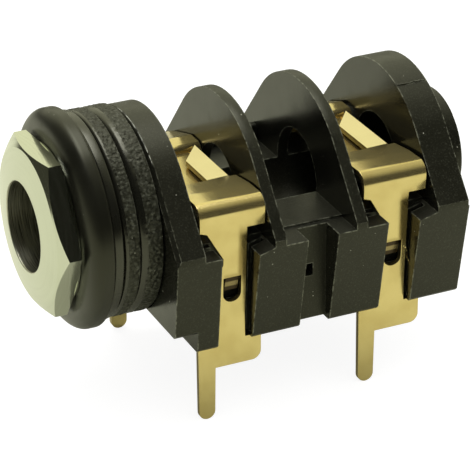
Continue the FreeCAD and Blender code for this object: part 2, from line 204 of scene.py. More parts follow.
def make_nut_thread():
    """Right-hand thread on the bush's shank, as a sleeve with a helical crest."""
    end_gap = 0.02
    inner = thread_root - 0.3
    front = nut_back + collar_length + end_gap
    back = shank_end - end_gap
    rows = [fixed(back, inner), fixed(front, inner)]
    rows_per_turn = 14
    count = int((shank_end - front) / thread_pitch * rows_per_turn)
    for i in range(count + 1):
        x = front + (back - front) * i / count

        def thread_row(angle, x=x):
            phase = (x / thread_pitch + angle / math.tau) % 1.0
            flank = abs(phase * 2 - 1) * 1.3 - 0.15
            rise = max(0.0, min(1.0, flank))
            fade = min(1.0, (x - front) / 0.5, (shank_end - x) / 0.35)
            return x, thread_root + (thread_crest - thread_root) * rise * max(0.0, fade)
        rows.append(thread_row)
    verts, faces = turned_rows(rows, 120)
    thread = new_piece("nut_thread", verts, faces, "nut", ("bush_nut",))
    crease(thread, 50.0)
    return thread


# Washers and rings

def make_dished_washer():
    """Domed washer with a recess behind it that takes the front of the nose."""
    hole_round = 0.06
    back_round = 0.2
    back_drop = 0.25
    rows = [fixed(washer_seat, washer_hole), fixed(washer_front + hole_round, washer_hole)]
    rows.append(fixed(washer_front, washer_hole + hole_round))
    for share in (0.25, 0.5, 0.75):
        rows.append(fixed(washer_front, washer_hole + (washer_flat - washer_hole) * share))
    arc = 28
    rise = washer_rim - washer_flat
    for i in range(arc + 1):
        turn = math.pi / 2 * i / arc
        x = washer_front + washer_dome * (1 - math.cos(turn))
        rows.append(fixed(x, washer_flat + rise * math.sin(turn)))
    rows.append(fixed(washer_back - back_round - 0.08, washer_rim))
    for i in range(7):
        turn = math.pi / 2 * i / 6
        x = washer_back - back_round * (1 - math.sin(turn))
        rows.append(fixed(x, washer_rim - back_drop * (1 - math.cos(turn))))
    rows.append(fixed(washer_back, ring_hole))
    rows.append(fixed(washer_seat, ring_hole))
    verts, faces = turned_rows(rows, 256)
    washer = new_piece("washer_dome", verts, faces, "washer", ("dished_washer",))
    crease(washer, 32.0)
    return washer


def pit_share(x, angle):
    """How deep the rough skin is at one point, from 0 to 1, out of layered noise."""
    at = Vector((x, ring_radius * math.cos(angle), ring_radius * math.sin(angle)))
    coarse = noise.noise(at * ring_grain)
    fine = noise.noise(at * ring_grain * 2.3 + Vector((7.0, 3.0, 5.0)))
    return max(0.0, min(1.0, 0.45 + 0.8 * coarse + 0.5 * fine))


def make_rough_ring(name, front, back, bevel):
    """A ring with a smooth rounded shoulder and a pitted outer band."""
    shoulder = ring_radius - ring_drop
    rows = [fixed(back, ring_hole), fixed(front, ring_hole), fixed(front, shoulder)]
    for turn in (18, 36, 54, 72):
        swing = math.radians(turn)
        x = front + bevel * (1 - math.cos(swing))
        rows.append(fixed(x, ring_radius - ring_drop * (1 - math.sin(swing))))
    band = 15
    first = front + bevel
    for i in range(band + 1):
        x = first + (back - first) * i / band
        edge = min(1.0, i / 1.5, (band - i) / 1.5)

        def band_row(angle, x=x, edge=edge):
            pit = ring_pit_depth * pit_share(x, angle) * (0.35 + 0.65 * edge)
            return x, ring_radius - pit - 0.05 * (1 - edge)
        rows.append(band_row)
    verts, faces = turned_rows(rows, 720)
    ring = new_piece("ring_" + name, verts, faces, "socket", ("spacer_ring_" + name,))
    crease(ring, 60.0)
    return ring


def make_thin_washer():
    """Smooth washer with rounded edges."""
    inner = thin_radius - thin_round
    rows = [fixed(thin_back, ring_hole), fixed(thin_front, ring_hole), fixed(thin_front, inner)]
    for i in range(7):
        turn = math.pi / 2 * i / 6
        x = thin_front + thin_round * (1 - math.cos(turn))
        rows.append(fixed(x, inner + thin_round * math.sin(turn)))
    for i in range(7):
        turn = math.pi / 2 * i / 6
        x = thin_back - thin_round * (1 - math.sin(turn))
        rows.append(fixed(x, inner + thin_round * math.cos(turn)))
    verts, faces = turned_rows(rows, 256)
    washer = new_piece("washer_thin", verts, faces, "socket", ("thin_washer",))
    crease(washer, 40.0)
    return washer


# Small moulded detail

def make_bay_kerb():
    """Low kerb along the far edge of the middle bay's floor, from fin to fin."""
    profile = [
        (7.5, -0.35), (7.5, 0.62), (7.43, 0.78), (7.27, 0.86),
        (6.97, 0.86), (6.81, 0.78), (6.74, 0.62), (6.74, -0.35),
    ]
    stations = [8.15, 8.3, 9.6, 11.0, 12.4, 13.6, 13.72]
    verts = []
    for i, x in enumerate(stations):
        dip = 0.03 * math.sin(math.pi * i / (len(stations) - 1))
        verts.extend((x, y, z - (dip if z > 0 else 0.0)) for y, z in profile)
    count = len(profile)
    faces = [tuple(range(count)), tuple(range(len(verts) - 1, len(verts) - 1 - count, -1))]
    for i in range(len(stations) - 1):
        for k in range(count):
            m = (k + 1) % count
            faces.append((i * count + k, i * count + m, (i + 1) * count + m, (i + 1) * count + k))
    kerb = new_piece("bay_kerb", verts, faces, "socket")
    crease(kerb, 50.0)
    return kerb


def make_seam_flash():
    """Ragged flash along the mould's parting line over the end wall's crown."""
    seam = math.radians(22.6)
    front = 20.12
    length = 2.36
    verts = []
    count = 44
    for i in range(count + 1):
        x = front + length * i / count
        at = Vector((x * 3.1, 2.0, 5.0))
        wander = 0.014 * noise.noise(at)
        ragged = max(0.0, noise.noise(at * 2.6) + 0.35)
        height = (0.04 + 0.14 * ragged) * min(1.0, i / 3, (count - i) / 3)
        width = 0.014 + 0.012 * ragged
        ridge = ((-width, -0.03), (-width * 0.35, height * 0.8), (width * 0.2, height), (width, -0.03))
        for turn, lift in ridge:
            angle = seam + wander + turn
            radius = wall_crown + lift
            verts.append((x, -radius * math.sin(angle), wall_crown_z + radius * math.cos(angle)))
    faces = [(0, 1, 2, 3), tuple(len(verts) - 1 - k for k in range(4))]
    for i in range(count):
        for k in range(4):
            m = (k + 1) % 4
            faces.append((i * 4 + k, i * 4 + m, (i + 1) * 4 + m, (i + 1) * 4 + k))
    flash = new_piece("seam_flash", verts, faces, "socket")
    crease(flash, 60.0)
    return flash


def make_sliver(name, path):
    """A thin four-sided sliver: path is a list of (point, half width, half height, side)."""
    verts = []
    for point, width, height, side in path:
        at, across = Vector(point), Vector(side).normalized()
        lift = Vector((0.0, -across.z, across.y))
        if abs(across.x) > 0.5:
            lift = Vector((0.0, -0.7, 0.7))
        across, lift = across * width, lift * height
        verts.extend([at + across, at + lift, at - across, at - lift])
    faces = [(3, 2, 1, 0), tuple(len(verts) - 4 + k for k in range(4))]
    for i in range(len(path) - 1):
        for k in range(4):
            m = (k + 1) % 4
            faces.append((i * 4 + k, i * 4 + m, (i + 1) * 4 + m, (i + 1) * 4 + k))
    sliver = new_piece(name, verts, faces, "socket")
    crease(sliver, 60.0)
    return sliver


def make_flange_arris():
    """Pale arris along the flange's front edge, thinning out toward the side: rubbed wear and a
    painted highlight of the edge.
    """
    x, radius, centre_z = 0.26, 7.64, -0.45
    thinnest = 0.004
    path = []
    count = 90
    for i in range(count + 1):
        share = i / count
        angle = math.radians(-14 + 66 * share)
        ragged = 0.6 + 0.9 * max(0.0, 0.4 + noise.noise(Vector((share * 24, 1.0, 4.0))))
        size = 0.05 * ragged * min(1.0, share * 8, (1 - share) * 3)
        point = (x, -radius * math.sin(angle), centre_z + radius * math.cos(angle))
        path.append((point, size + thinnest, size * 0.8 + thinnest, (1.0, 0.0, 0.0)))
    return make_sliver("flange_arris", path)


def make_gate_burr():
    """Small curled burr between the rear contact's stem and its block."""
    corners = [
        (18.16, -7.78, -3.3), (18.31, -7.8, -3.52), (18.5, -7.84, -3.7), (18.62, -7.84, -4.1),
        (18.56, -7.9, -4.4), (18.66, -8.08, -4.75), (18.76, -8.3, -5.2), (18.77, -8.5, -5.7),
    ]
    path = []
    count = 42
    for i in range(count + 1):
        along = i / count * (len(corners) - 1)
        k = min(int(along), len(corners) - 2)
        point = Vector(corners[k]).lerp(Vector(corners[k + 1]), along - k)
        ragged = noise.noise(Vector((i * 0.45, 3.0, 8.0)))
        size = (0.07 + 0.045 * ragged) * min(1.0, (i + 1) / 4, (count + 1 - i) / 8)
        path.append((point, size, size * 0.7, (0.0, 0.6 + ragged, 0.8)))
    return make_sliver("gate_burr", path)


def make_foot_web(name, left):
    """Thin moulded web that closes the slit over a near contact's foot."""
    y, z, length = -7.48, -7.9, 0.5
    path = []
    count = 8
    for i in range(count + 1):
        x = left + length * i / count
        wide = 0.27 + 0.01 * math.cos(i * 1.7)
        thick = 0.05 + 0.008 * math.sin(i * 2.1)
        path.append(((x, y, z), wide, thick, (0.0, 1.0, 0.0)))
    return make_sliver(name, path)


# Solids that keep their own mesh


def dress_solid(name, edge_width):
    """Rounds a solid's edges and smooths its shading, without touching its mesh."""
    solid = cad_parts[name]
    for face in solid.data.polygons:
        face.use_smooth = True
    weld = solid.modifiers.new("weld", "WELD")
    weld.merge_threshold = 0.0004 * MM
    flats = solid.modifiers.new("flats", "DECIMATE")
    flats.decimate_type = "DISSOLVE"
    flats.angle_limit = math.radians(0.5)
    edge = solid.modifiers.new("edge", "BEVEL")
    edge.width = edge_width * MM
    edge.segments = 2
    edge.limit_method = "ANGLE"
    edge.angle_limit = math.radians(30.0)
    solid.modifiers.new("normals", "WEIGHTED_NORMAL")
    return solid


# Shader groups

def new_group(name, inputs, outputs):
    """An empty shader group with its sockets, and its input and output nodes."""
    tree = bpy.data.node_groups.new(name, "ShaderNodeTree")
    for label, kind, value in inputs:
        socket = tree.interface.new_socket(name=label, in_out="INPUT", socket_type=kind)
        socket.default_value = value
    for label, kind in outputs:
        tree.interface.new_socket(name=label, in_out="OUTPUT", socket_type=kind)
    return tree, tree.nodes.new("NodeGroupInput"), tree.nodes.new("NodeGroupOutput")


def add_node(tree, kind, **values):
    """A node with its settings, in a group or a material."""
    made = tree.nodes.new(kind)
    for key, value in values.items():
        setattr(made, key, value)
    return made


def math_node(tree, operation, first, second=None, clamp=False):
    """A sum on one or two values, each a number or a socket."""
    made = add_node(tree, "ShaderNodeMath", operation=operation, use_clamp=clamp)
    for i, value in enumerate((first, second)):
        if value is None:
            continue
        if isinstance(value, (int, float)):
            made.inputs[i].default_value = value
        else:
            tree.links.new(value, made.inputs[i])
    return made.outputs[0]


def ramp(tree, source, low, high, to_low=0.0, to_high=1.0):
    """Eased change from to_low to to_high, while the source goes from low to high."""
    made = add_node(tree, "ShaderNodeMapRange", interpolation_type="SMOOTHSTEP")
    tree.links.new(source, made.inputs["Value"])
    made.inputs["From Min"].default_value = low
    made.inputs["From Max"].default_value = high
    made.inputs["To Min"].default_value = to_low
    made.inputs["To Max"].default_value = to_high
    return made.outputs["Result"]


def mix_colour(tree, mask, first, second):
    """The first colour where the mask is 0 and the second where it is 1."""
    made = add_node(tree, "ShaderNodeMix", data_type="RGBA")
    tree.links.new(mask, made.inputs["Factor"])
    for socket, value in ((made.inputs[6], first), (made.inputs[7], second)):
        if isinstance(value, tuple):
            socket.default_value = (*value, 1.0)
        else:
            tree.links.new(value, socket)
    return made.outputs[2]


def noise_value(tree, coordinate, scale, detail=2.0, roughness=0.5):
    """Layered noise, as a value from 0 to 1."""
    made = add_node(tree, "ShaderNodeTexNoise")
    tree.links.new(coordinate, made.inputs["Vector"])
    if isinstance(scale, (int, float)):
        made.inputs["Scale"].default_value = scale
    else:
        tree.links.new(scale, made.inputs["Scale"])
    made.inputs["Detail"].default_value = detail
    made.inputs["Roughness"].default_value = roughness
    return made.outputs["Fac"]


def split(tree, vector):
    """The x, y and z of a vector."""
    parts = add_node(tree, "ShaderNodeSeparateXYZ")
    tree.links.new(vector, parts.inputs[0])
    return parts.outputs


def make_edge_wear():
    """Mask of the proud edges, broken up by noise, that materials paint pale: partly rubbed wear and
    partly painted highlight along the edges.
    """
    tree, given, out = new_group(
        "edge wear and highlight",
        [("Width", "NodeSocketFloat", 0.0001), ("Break Up", "NodeSocketFloat", 4000.0)],
        [("Mask", "NodeSocketFloat")],
    )
    rounded = add_node(tree, "ShaderNodeBevel", samples=8)
    tree.links.new(given.outputs["Width"], rounded.inputs["Radius"])
    here = add_node(tree, "ShaderNodeNewGeometry")
    turn = add_node(tree, "ShaderNodeVectorMath", operation="DOT_PRODUCT")
    tree.links.new(rounded.outputs["Normal"], turn.inputs[0])
    tree.links.new(here.outputs["Normal"], turn.inputs[1])
    bent = math_node(tree, "SUBTRACT", 1.0, turn.outputs["Value"])
    edge = ramp(tree, bent, 0.012, 0.08)
    where = add_node(tree, "ShaderNodeTexCoord")
    broken = noise_value(tree, where.outputs["Object"], given.outputs["Break Up"], 3.0, 0.6)
    kept = ramp(tree, broken, 0.38, 0.62)
    open_side = add_node(tree, "ShaderNodeAmbientOcclusion", samples=6)
    open_side.inputs["Distance"].default_value = 0.0005
    proud = ramp(tree, open_side.outputs["AO"], 0.62, 0.86)
    worn = math_node(tree, "MULTIPLY", edge, proud)
    mask = math_node(tree, "MULTIPLY", worn, kept, clamp=True)
    tree.links.new(mask, out.inputs["Mask"])
    return tree


def make_grain():
    """Moulded skin: grained on the outer faces, polished on the faces across the bore."""
    tree, given, out = new_group(
        "moulded grain",
        [("Grain Scale", "NodeSocketFloat", 6500.0), ("Patch Scale", "NodeSocketFloat", 420.0)],
        [
            ("Height", "NodeSocketFloat"),
            ("Patches", "NodeSocketFloat"),
            ("Specks", "NodeSocketFloat"),
            ("Grained", "NodeSocketFloat"),
        ],
    )
    where = add_node(tree, "ShaderNodeTexCoord")
    here = where.outputs["Object"]
    fine = noise_value(tree, here, given.outputs["Grain Scale"], 3.0, 0.65)
    slow = noise_value(tree, here, given.outputs["Patch Scale"], 3.0, 0.55)
    facing = split(tree, where.outputs["Normal"])[0]
    grained = ramp(tree, math_node(tree, "ABSOLUTE", facing), 0.80, 0.97, 1.0, 0.12)
    tree.links.new(math_node(tree, "MULTIPLY", fine, grained), out.inputs["Height"])
    tree.links.new(slow, out.inputs["Patches"])
    specks = ramp(tree, fine, 0.50, 0.74)
    tree.links.new(math_node(tree, "MULTIPLY", specks, grained), out.inputs["Specks"])
    tree.links.new(grained, out.inputs["Grained"])
    return tree


def make_dust():
    """Sparse pale specks."""
    tree, given, out = new_group(
        "dust specks",
        [("Spacing", "NodeSocketFloat", 700.0), ("Size", "NodeSocketFloat", 0.07)],
        [("Mask", "NodeSocketFloat")],
    )
    where = add_node(tree, "ShaderNodeTexCoord")
    cells = add_node(tree, "ShaderNodeTexVoronoi", feature="F1")
    tree.links.new(where.outputs["Object"], cells.inputs["Vector"])
    tree.links.new(given.outputs["Spacing"], cells.inputs["Scale"])
    pick = add_node(tree, "ShaderNodeSeparateColor")
    tree.links.new(cells.outputs["Color"], pick.inputs[0])
    size = math_node(tree, "MULTIPLY", pick.outputs[0], given.outputs["Size"])
    near = math_node(tree, "LESS_THAN", cells.outputs["Distance"], size)
    some = math_node(tree, "GREATER_THAN", pick.outputs[1], 0.5)
    tree.links.new(math_node(tree, "MULTIPLY", near, some), out.inputs["Mask"])
    return tree


def make_pitting():
    """Open, crusted skin of the spacer rings."""
    tree, given, out = new_group(
        "pitted skin",
        [("Pit Scale", "NodeSocketFloat", 5200.0)],
        [("Height", "NodeSocketFloat"), ("Pits", "NodeSocketFloat"), ("Crust", "NodeSocketFloat")],
    )
    where = add_node(tree, "ShaderNodeTexCoord")
    cells = add_node(tree, "ShaderNodeTexVoronoi", feature="SMOOTH_F1")
    tree.links.new(where.outputs["Object"], cells.inputs["Vector"])
    tree.links.new(given.outputs["Pit Scale"], cells.inputs["Scale"])
    crust = noise_value(tree, where.outputs["Object"], given.outputs["Pit Scale"], 4.0, 0.65)
    pits = ramp(tree, cells.outputs["Distance"], 0.15, 0.6)
    height = math_node(tree, "ADD", math_node(tree, "MULTIPLY", pits, 0.5), crust)
    tree.links.new(height, out.inputs["Height"])
    tree.links.new(pits, out.inputs["Pits"])
    tree.links.new(ramp(tree, crust, 0.48, 0.7), out.inputs["Crust"])
    return tree


def make_turning():
    """Tool marks that run round the bore axis, as a height and a streak mask."""
    tree, given, out = new_group(
        "turning marks",
        [("Along", "NodeSocketFloat", 9000.0), ("Round", "NodeSocketFloat", 120.0)],
        [("Height", "NodeSocketFloat"), ("Streaks", "NodeSocketFloat")],
    )
    where = add_node(tree, "ShaderNodeTexCoord")
    parts = split(tree, where.outputs["Object"])
    squares = math_node(
        tree,
        "ADD",
        math_node(tree, "MULTIPLY", parts[1], parts[1]),
        math_node(tree, "MULTIPLY", parts[2], parts[2]),
    )
    radius = math_node(tree, "SQRT", squares)
    together = math_node(tree, "ADD", math_node(tree, "MULTIPLY", radius, 0.6), parts[0])
    along = math_node(tree, "MULTIPLY", together, given.outputs["Along"])
    packed = add_node(tree, "ShaderNodeCombineXYZ")
    tree.links.new(along, packed.inputs[0])
    tree.links.new(math_node(tree, "MULTIPLY", parts[1], given.outputs["Round"]), packed.inputs[1])
    tree.links.new(math_node(tree, "MULTIPLY", parts[2], given.outputs["Round"]), packed.inputs[2])
    lines = noise_value(tree, packed.outputs[0], 1.0, 4.0, 0.6)
    tree.links.new(lines, out.inputs["Height"])
    tree.links.new(ramp(tree, lines, 0.38, 0.68), out.inputs["Streaks"])
    return tree


def make_rolling():
    """Long faint rolling lines of the strip, slow tarnish over it and its sheared edges."""
    tree, given, out = new_group(
        "rolled strip",
        [("Line Scale", "NodeSocketFloat", 5200.0), ("Tarnish Scale", "NodeSocketFloat", 380.0)],
        [("Height", "NodeSocketFloat"), ("Tarnish", "NodeSocketFloat"), ("Cut", "NodeSocketFloat")],
    )
    where = add_node(tree, "ShaderNodeTexCoord")
    stretch = add_node(tree, "ShaderNodeMapping")
    stretch.inputs["Scale"].default_value = (1.0, 0.05, 0.05)
    tree.links.new(where.outputs["Object"], stretch.inputs["Vector"])
    lines = noise_value(tree, stretch.outputs[0], given.outputs["Line Scale"], 3.0, 0.6)
    slow = noise_value(tree, where.outputs["Object"], given.outputs["Tarnish Scale"], 4.0, 0.6)
    facing = split(tree, where.outputs["Normal"])[0]
    cut = ramp(tree, math_node(tree, "ABSOLUTE", facing), 0.75, 0.95)
    tree.links.new(lines, out.inputs["Height"])
    tree.links.new(slow, out.inputs["Tarnish"])
    tree.links.new(cut, out.inputs["Cut"])
    return tree


def between(tree, source, low, high, soft):
    """Mask that is 1 from low to high, with soft shoulders outside them."""
    rise = ramp(tree, source, low - soft, low)
    fall = ramp(tree, source, high, high + soft, 1.0, 0.0)
    return math_node(tree, "MULTIPLY", rise, fall)


def make_strip_shade():
    """Masks of painted light and shade on a contact: painted shade inside its window, a painted lit
    band on the lance, and painted reflection of the next block's dark wall along the stem.
    """
    tree, given, out = new_group(
        "strip shade",
        [("Pitch", "NodeSocketFloat", 0.0126)],
        [("Window", "NodeSocketFloat"), ("Lance", "NodeSocketFloat"), ("Stem", "NodeSocketFloat")],
    )
    where = add_node(tree, "ShaderNodeTexCoord")
    parts = split(tree, where.outputs["Object"])
    along = math_node(tree, "MODULO", parts[0], given.outputs["Pitch"])
    height = parts[2]

    # Painted shade fills the window, which has a straight top and a round foot
    window_left, window_right, window_low, window_top = 0.00421, 0.00554, -0.00427, -0.00301
    foot_along, foot_height, foot_radius = 0.004875, -0.004275, 0.00066
    soft = 0.00001
    across = between(tree, along, window_left, window_right, soft)
    straight = between(tree, height, window_low, window_top, soft)
    upper = math_node(tree, "MULTIPLY", across, straight)
    from_foot = add_node(tree, "ShaderNodeCombineXYZ")
    tree.links.new(math_node(tree, "SUBTRACT", along, foot_along), from_foot.inputs[0])
    tree.links.new(math_node(tree, "SUBTRACT", height, foot_height), from_foot.inputs[2])
    away = add_node(tree, "ShaderNodeVectorMath", operation="LENGTH")
    tree.links.new(from_foot.outputs[0], away.inputs[0])
    foot = ramp(tree, away.outputs["Value"], foot_radius, foot_radius + soft, 1.0, 0.0)
    window = math_node(tree, "MAXIMUM", upper, foot)
    # Painted lit band across the lance inside the window
    lance_highlight = math_node(tree, "MULTIPLY", across, between(tree, height, -0.00372, -0.00342, 0.0001))

    # Painted reflection of the next block's dark wall along the stem's right side, and painted shade
    # over the window
    side = between(tree, along, 0.00546, 0.006, 0.00032)
    stem = math_node(tree, "MULTIPLY", side, between(tree, height, -0.0028, 0.0001, 0.0012))
    brow_side = between(tree, along, 0.0044, 0.0054, 0.0003)
    brow_shade = math_node(tree, "MULTIPLY", brow_side, between(tree, height, -0.0030, -0.0029, 0.0003))
    both = math_node(tree, "MAXIMUM", stem, math_node(tree, "MULTIPLY", brow_shade, 0.6))
    tree.links.new(window, out.inputs["Window"])
    tree.links.new(lance_highlight, out.inputs["Lance"])
    tree.links.new(both, out.inputs["Stem"])
    return tree


def make_tongue_twist():
    """Flat plates, and a tongue that is sprung out of level toward the mouth of the bore."""
    tree, given, out = new_group(
        "tongue twist",
        [("Twist", "NodeSocketFloat", 0.42)],
        [("Normal", "NodeSocketVector"), ("Tongue", "NodeSocketFloat")],
    )
    where = add_node(tree, "ShaderNodeTexCoord")
    parts = split(tree, where.outputs["Object"])
    here = add_node(tree, "ShaderNodeNewGeometry")
    up = split(tree, here.outputs["Normal"])[2]
    top = ramp(tree, up, 0.9, 0.97)
    inner = math_node(tree, "MULTIPLY", top, ramp(tree, parts[1], -0.0034, -0.0031))
    tongue = math_node(tree, "MULTIPLY", inner, ramp(tree, parts[2], 0.0019, 0.0020))
    lean = add_node(tree, "ShaderNodeCombineXYZ")
    twist = math_node(tree, "MULTIPLY", tongue, given.outputs["Twist"])
    tree.links.new(math_node(tree, "MULTIPLY", twist, -1.0), lean.inputs[0])
    plate_side = math_node(tree, "ABSOLUTE", split(tree, here.outputs["True Normal"])[1])
    level = add_node(tree, "ShaderNodeMix", data_type="VECTOR")
    tree.links.new(ramp(tree, plate_side, 0.9962, 0.9968), level.inputs[0])
    tree.links.new(here.outputs["Normal"], level.inputs[4])
    tree.links.new(here.outputs["True Normal"], level.inputs[5])
    added = add_node(tree, "ShaderNodeVectorMath", operation="ADD")
    tree.links.new(level.outputs[1], added.inputs[0])
    tree.links.new(lean.outputs[0], added.inputs[1])
    unit = add_node(tree, "ShaderNodeVectorMath", operation="NORMALIZE")
    tree.links.new(added.outputs["Vector"], unit.inputs[0])
    tree.links.new(unit.outputs["Vector"], out.inputs["Normal"])
    tree.links.new(tongue, out.inputs["Tongue"])
    return tree


edge_wear_and_highlight = make_edge_wear()
moulded_grain = make_grain()
dust_specks = make_dust()
pitted_skin = make_pitting()
turning_marks = make_turning()
rolled_strip = make_rolling()
strip_shade = make_strip_shade()
tongue_twist = make_tongue_twist()


# Materials

black_tint = (1.0, 1.0, 0.74, 1.0)


def new_material(name):
    """A material, its node tree and its shader."""
    made = bpy.data.materials.new(name)
    made.use_nodes = True
    return made, made.node_tree, made.node_tree.nodes["Principled BSDF"]


def use_group(tree, group, **values):
    """Puts a shader group into a material, with the material's own values."""
    made = tree.nodes.new("ShaderNodeGroup")
    made.node_tree = group
    for key, value in values.items():
        made.inputs[key.replace("_", " ")].default_value = value
    return made


def bump(tree, shader, height, strength, distance, normal=None):
    """Lets a height raise the surface of a shader."""
    made = tree.nodes.new("ShaderNodeBump")
    made.inputs["Strength"].default_value = strength
    made.inputs["Distance"].default_value = distance
    tree.links.new(height, made.inputs["Height"])
    if normal is not None:
        tree.links.new(normal, made.inputs["Normal"])
    tree.links.new(made.outputs["Normal"], shader.inputs["Normal"])


def make_moulded_black():
    """Grained black moulding with a little dust and pale edges, partly rubbed wear and partly painted
    highlight.
    """
    made, tree, shader = new_material("moulded black")
    grain = use_group(tree, moulded_grain, Grain_Scale=8500.0, Patch_Scale=420.0)
    wear = use_group(tree, edge_wear_and_highlight, Width=0.00016, Break_Up=2200.0)
    dust = use_group(tree, dust_specks, Spacing=1500.0, Size=0.075)
    skin = mix_colour(tree, grain.outputs["Patches"], (0.003, 0.003, 0.0022), (0.008, 0.008, 0.0058))
    specked = mix_colour(tree, grain.outputs["Specks"], skin, (0.03, 0.031, 0.023))
    # Pale edges: rubbed wear, and painted highlight where the fins' and blocks' edges catch the light
    worn = math_node(tree, "MULTIPLY", wear.outputs["Mask"], 0.6)
    rubbed = mix_colour(tree, worn, specked, (0.30, 0.31, 0.23))
    dusty = mix_colour(tree, dust.outputs["Mask"], rubbed, (0.33, 0.33, 0.27))
    tree.links.new(dusty, shader.inputs["Base Color"])
    gloss = ramp(tree, grain.outputs["Patches"], 0.3, 0.7, 0.15, 0.24)
    rough = math_node(tree, "ADD", gloss, math_node(tree, "MULTIPLY", grain.outputs["Grained"], 0.2))
    tree.links.new(rough, shader.inputs["Roughness"])
    shader.inputs["IOR"].default_value = 1.46
    shader.inputs["Specular Tint"].default_value = black_tint
    bump(tree, shader, grain.outputs["Height"], 0.6, 0.00002)
    return made


def make_washer_black():
    """Half-gloss black with faint turning marks, for the dished washer."""
    made, tree, shader = new_material("washer black")
    grain = use_group(tree, moulded_grain, Grain_Scale=5200.0, Patch_Scale=300.0)
    marks = use_group(tree, turning_marks, Along=5200.0, Round=60.0)
    wear = use_group(tree, edge_wear_and_highlight, Width=0.0001, Break_Up=2200.0)
    dust = use_group(tree, dust_specks, Spacing=1500.0, Size=0.07)
    skin = mix_colour(tree, grain.outputs["Patches"], (0.003, 0.003, 0.0023), (0.009, 0.009, 0.0065))
    # Pale edges: rubbed wear, and painted highlight along the edges
    worn = math_node(tree, "MULTIPLY", wear.outputs["Mask"], 0.35)
    rubbed = mix_colour(tree, worn, skin, (0.2, 0.205, 0.16))
    dusty = mix_colour(tree, dust.outputs["Mask"], rubbed, (0.22, 0.22, 0.18))
    tree.links.new(dusty, shader.inputs["Base Color"])
    rough = ramp(tree, grain.outputs["Patches"], 0.3, 0.7, 0.3, 0.4)
    tree.links.new(rough, shader.inputs["Roughness"])
    shader.inputs["IOR"].default_value = 1.5
    shader.inputs["Specular Tint"].default_value = black_tint
    bump(tree, shader, marks.outputs["Height"], 0.1, 0.00001)
    return made


def make_smooth_black():
    """Smoother black for the thin washer and the shoulders of the rings."""
    made, tree, shader = new_material("smooth black")
    grain = use_group(tree, moulded_grain, Grain_Scale=5200.0, Patch_Scale=260.0)
    marks = use_group(tree, turning_marks, Along=8000.0, Round=90.0)
    dust = use_group(tree, dust_specks, Spacing=1600.0, Size=0.07)
    skin = mix_colour(tree, grain.outputs["Patches"], (0.003, 0.003, 0.0022), (0.01, 0.01, 0.0072))
    dusty = mix_colour(tree, dust.outputs["Mask"], skin, (0.3, 0.3, 0.24))
    tree.links.new(dusty, shader.inputs["Base Color"])
    rough = ramp(tree, grain.outputs["Patches"], 0.3, 0.7, 0.22, 0.32)
    tree.links.new(rough, shader.inputs["Roughness"])
    shader.inputs["IOR"].default_value = 1.66
    shader.inputs["Specular Tint"].default_value = (1.0, 1.0, 0.8, 1.0)
    bump(tree, shader, marks.outputs["Height"], 0.1, 0.00001)
    return made


def make_worn_arris():
    """Pale patches along an edge: rubbed wear and painted highlight."""
    made, tree, shader = new_material("worn arris and highlight")
    grain = use_group(tree, moulded_grain, Grain_Scale=4200.0, Patch_Scale=900.0)
    patches = ramp(tree, grain.outputs["Patches"], 0.35, 0.6)
    # Pale patches: rubbed wear and painted highlight of the edge
    worn = mix_colour(tree, patches, (0.03, 0.031, 0.024), (0.42, 0.43, 0.35))
    tree.links.new(worn, shader.inputs["Base Color"])
    rough = ramp(tree, grain.outputs["Patches"], 0.3, 0.7, 0.45, 0.3)
    tree.links.new(rough, shader.inputs["Roughness"])
    bump(tree, shader, grain.outputs["Height"], 0.3, 0.00001)
    return made


def make_ring_skin():
    """Pitted, crusted black of the rings' outer band."""
    made, tree, shader = new_material("ring skin")
    skin = use_group(tree, pitted_skin, Pit_Scale=3900.0)
    wear = use_group(tree, edge_wear_and_highlight, Width=0.00012, Break_Up=2600.0)
    dust = use_group(tree, dust_specks, Spacing=1800.0, Size=0.1)
    pits = mix_colour(tree, skin.outputs["Pits"], (0.003, 0.003, 0.002), (0.018, 0.019, 0.014))
    crust = mix_colour(tree, skin.outputs["Crust"], pits, (0.075, 0.078, 0.06))
    # Pale edges: rubbed wear, and painted highlight along the edges
    worn = math_node(tree, "MULTIPLY", wear.outputs["Mask"], 0.4)
    rubbed = mix_colour(tree, worn, crust, (0.2, 0.205, 0.16))
    dusty = mix_colour(tree, dust.outputs["Mask"], rubbed, (0.26, 0.26, 0.2))
    tree.links.new(dusty, shader.inputs["Base Color"])
    shader.inputs["Roughness"].default_value = 0.48
    shader.inputs["IOR"].default_value = 1.46
    shader.inputs["Specular Tint"].default_value = black_tint
    bump(tree, shader, skin.outputs["Height"], 0.9, 0.00005)
    return made


def make_plated():
    """Bright plate of the bush nut, with fine turning marks."""
    made, tree, shader = new_material("plated nut")
    marks = use_group(tree, turning_marks, Along=7000.0, Round=160.0)
    grain = use_group(tree, moulded_grain, Grain_Scale=3000.0, Patch_Scale=260.0)
    plate = mix_colour(tree, grain.outputs["Patches"], (0.60, 0.625, 0.50), (0.66, 0.685, 0.56))
    light = math_node(tree, "MULTIPLY", marks.outputs["Streaks"], 0.18)
    streaked = mix_colour(tree, light, plate, (0.52, 0.53, 0.42))
    tree.links.new(streaked, shader.inputs["Base Color"])
    shader.inputs["Metallic"].default_value = 1.0
    rough = ramp(tree, marks.outputs["Streaks"], 0.0, 1.0, 0.09, 0.16)
    tree.links.new(rough, shader.inputs["Roughness"])
    bump(tree, shader, marks.outputs["Height"], 0.08, 0.00001)
    return made


